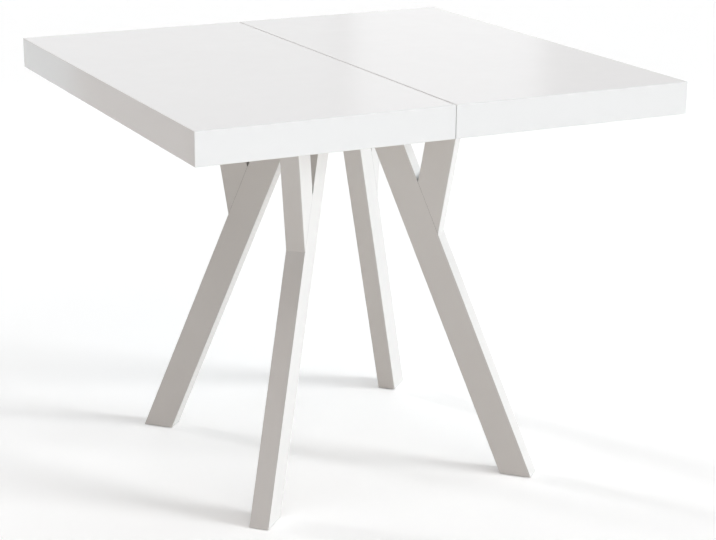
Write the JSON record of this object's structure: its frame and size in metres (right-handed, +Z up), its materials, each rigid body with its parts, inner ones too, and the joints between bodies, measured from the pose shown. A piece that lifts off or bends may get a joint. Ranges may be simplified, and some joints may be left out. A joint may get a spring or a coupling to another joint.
{
  "type": "extending dining table",
  "caption": "Square white dining table on forked splayed legs, split across the middle so that the halves draw apart on slides to make room for extra leaves.",
  "frame": {"origin": "on the floor under the middle of the closed top, in the plane of the seam", "axes": "+X along the way the right half draws out, +Y from front to back, +Z up"},
  "size_m": [0.9, 0.9, 0.76],
  "materials": {
    "top_lacquer": "smooth satin white lacquer",
    "leg_lacquer": "smooth satin white lacquer",
    "bare_wood": "bare wood, sanded",
    "slide_aluminium": "satin anodised extrusion",
    "plated_steel": "bright zinc plating",
    "slide_nylon": "natural nylon",
    "packer_fibre": "matt black fibre strip",
    "foot_plastic": "pale grey moulded plastic"
  },
  "bodies": {
    "left_half": {"left_top_board": "top_lacquer", "left_end_apron": "top_lacquer", "left_front_apron": "top_lacquer", "left_back_apron": "top_lacquer", "left_corner_blocks": "bare_wood", "left_leg_bearer": "bare_wood", "left_leg_dowels": "bare_wood", "left_rail_screws": "plated_steel", "left_stop_pins": "plated_steel", "left_lock_screws": "plated_steel", "left_leg_bolts": "plated_steel", "left_leg_plate_screws": "plated_steel", "left_rail_packers": "packer_fibre", "left_rail_glides": "slide_nylon", "front_left_leg_bar": "leg_lacquer", "front_left_leg_branch": "leg_lacquer", "front_left_leg_plate": "plated_steel", "front_left_foot_pad": "foot_plastic", "front_left_rail": "slide_aluminium", "back_left_leg_bar": "leg_lacquer", "back_left_leg_branch": "leg_lacquer", "back_left_leg_plate": "plated_steel", "back_left_foot_pad": "foot_plastic", "back_left_rail": "slide_aluminium", "lock_bases": "plated_steel", "lock_rivets": "plated_steel"},
    "right_half": {"right_top_board": "top_lacquer", "right_end_apron": "top_lacquer", "right_front_apron": "top_lacquer", "right_back_apron": "top_lacquer", "right_corner_blocks": "bare_wood", "right_leg_bearer": "bare_wood", "right_leg_dowels": "bare_wood", "right_rail_screws": "plated_steel", "right_stop_pins": "plated_steel", "right_lock_screws": "plated_steel", "right_leg_bolts": "plated_steel", "right_leg_plate_screws": "plated_steel", "right_rail_packers": "packer_fibre", "right_rail_glides": "slide_nylon", "front_right_leg_bar": "leg_lacquer", "front_right_leg_branch": "leg_lacquer", "front_right_leg_plate": "plated_steel", "front_right_foot_pad": "foot_plastic", "front_right_rail": "slide_aluminium", "back_right_leg_bar": "leg_lacquer", "back_right_leg_branch": "leg_lacquer", "back_right_leg_plate": "plated_steel", "back_right_foot_pad": "foot_plastic", "back_right_rail": "slide_aluminium", "seam_pins": "bare_wood", "lock_keepers": "plated_steel"},
    "front_beam": {"front_slide_beam": "slide_aluminium", "front_beam_glides": "slide_nylon"},
    "front_lever": {"front_lock_lever": "plated_steel"},
    "back_beam": {"back_slide_beam": "slide_aluminium", "back_beam_glides": "slide_nylon"},
    "back_lever": {"back_lock_lever": "plated_steel"}
  },
  "joints": [
    {"name": "extension_slide", "type": "slide", "parent": "left_half", "child": "right_half", "axis": [1, 0, 0], "range_m": [0, 1]},
    {"name": "front_beam_slide", "type": "slide", "parent": "left_half", "child": "front_beam", "axis": [1, 0, 0], "range_m": [0, 0.5]},
    {"name": "back_beam_slide", "type": "slide", "parent": "left_half", "child": "back_beam", "axis": [1, 0, 0], "range_m": [0, 0.5]},
    {"name": "front_lock_turn", "type": "hinge", "parent": "left_half", "child": "front_lever", "pos_m": [-0.022, -0.398, 0.736], "axis": [0, 0, -1], "range_deg": [0, 90]},
    {"name": "back_lock_turn", "type": "hinge", "parent": "left_half", "child": "back_lever", "pos_m": [-0.022, 0.398, 0.736], "axis": [0, 0, 1], "range_deg": [0, 90]}
  ],
  "couplings": [
    {"joint": "front_beam_slide", "follows": "extension_slide", "ratio": 0.5},
    {"joint": "back_beam_slide", "follows": "extension_slide", "ratio": 0.5}
  ]
}
